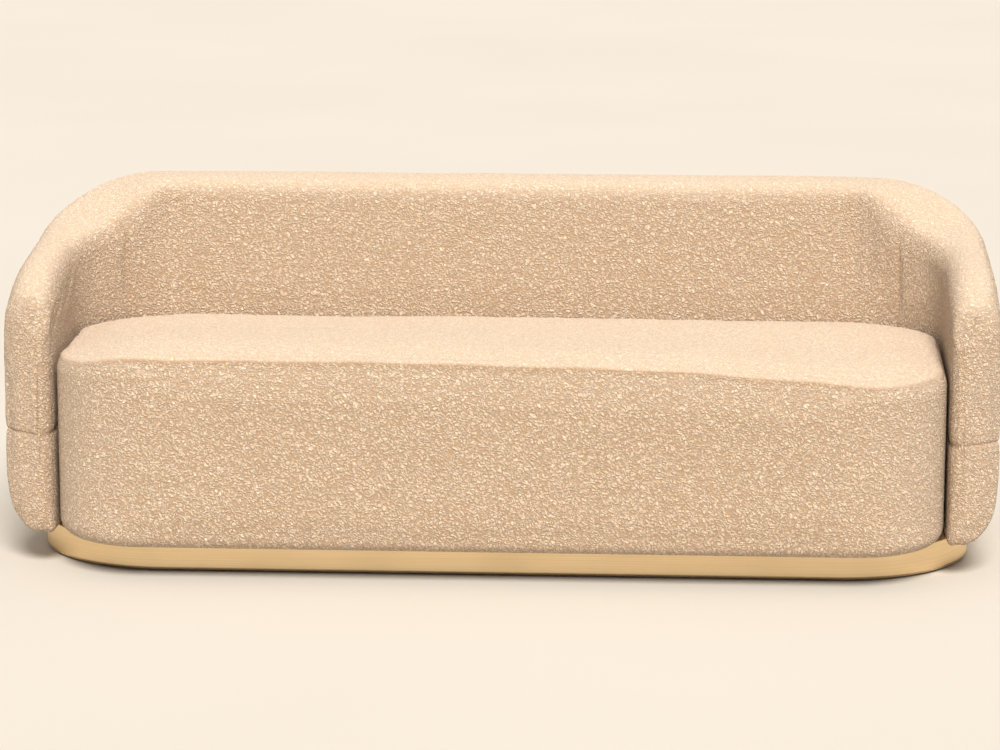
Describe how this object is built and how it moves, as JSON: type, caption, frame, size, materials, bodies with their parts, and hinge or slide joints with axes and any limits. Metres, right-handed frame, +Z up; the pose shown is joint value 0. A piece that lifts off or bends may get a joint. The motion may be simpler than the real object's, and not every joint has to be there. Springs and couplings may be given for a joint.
{
  "type": "sofa",
  "caption": "Low curved-shell sofa: back and arms in one padded sweep around a deep one-piece seat, on a recessed metal-faced plinth.",
  "frame": {"origin": "on the floor, midway across the width and midway between the front of the seat and the back of the shell", "axes": "+X to the right seen from the front, front faces -Y, +Z up"},
  "size_m": [2.05, 0.865, 0.735],
  "materials": {
    "boucle": "looped curly pile in warm peach and cream",
    "lining": "thin non-woven black lining",
    "foam": "open-cell polyurethane foam, matt",
    "felt": "needled felt, matt",
    "webbing": "woven elastic strap",
    "nylon": "moulded, matt",
    "zinc_steel": "zinc plated",
    "brass_band": "satin, brushed along the band",
    "timber": "planed softwood, unfinished",
    "plywood": "birch plywood, sanded, unfinished"
  },
  "bodies": {
    "root": {"floor_glides": "nylon", "glide_nails": "zinc_steel", "plinth_band": "brass_band", "plinth_front_board": "plywood", "plinth_rear_board": "plywood", "plinth_side_boards": "plywood", "plinth_corner_bends": "plywood", "plinth_crosspieces": "plywood", "plinth_glide_blocks": "timber", "plinth_deck": "plywood", "plinth_screws": "zinc_steel", "seat_front_rail": "timber", "seat_rear_rail": "timber", "seat_side_rails": "timber", "seat_corner_bends": "plywood", "seat_cross_rails": "timber", "seat_screws": "zinc_steel", "seat_webbing_long": "webbing", "seat_webbing_cross": "webbing", "seat_insulator_pad": "felt", "seat_foam_core": "foam", "seat_foam_topper": "foam", "seat_front_foam": "foam", "seat_rear_foam": "foam", "seat_side_foams": "foam", "seat_corner_foams": "foam", "seat_top_cover": "boucle", "seat_border_cover": "boucle", "seat_dust_cover": "lining", "base_board_arms": "plywood", "base_board_back": "plywood", "bottom_rail_arms": "timber", "bottom_rail_back": "timber", "corner_plates": "plywood", "top_rail_arms": "timber", "top_rail_back": "timber", "arm_posts": "timber", "corner_ribs": "plywood", "back_uprights": "timber", "back_webbing": "webbing", "outer_ply_left": "plywood", "outer_ply_back": "plywood", "outer_ply_right": "plywood", "inner_ply_arms": "plywood", "arm_nose_foam_left": "foam", "arm_nose_foam_right": "foam", "arm_foam_left": "foam", "arm_foam_right": "foam", "back_foam": "foam", "shell_upper_cover": "boucle", "shell_lower_cover": "boucle", "shell_screws": "zinc_steel"}
  },
  "joints": []
}
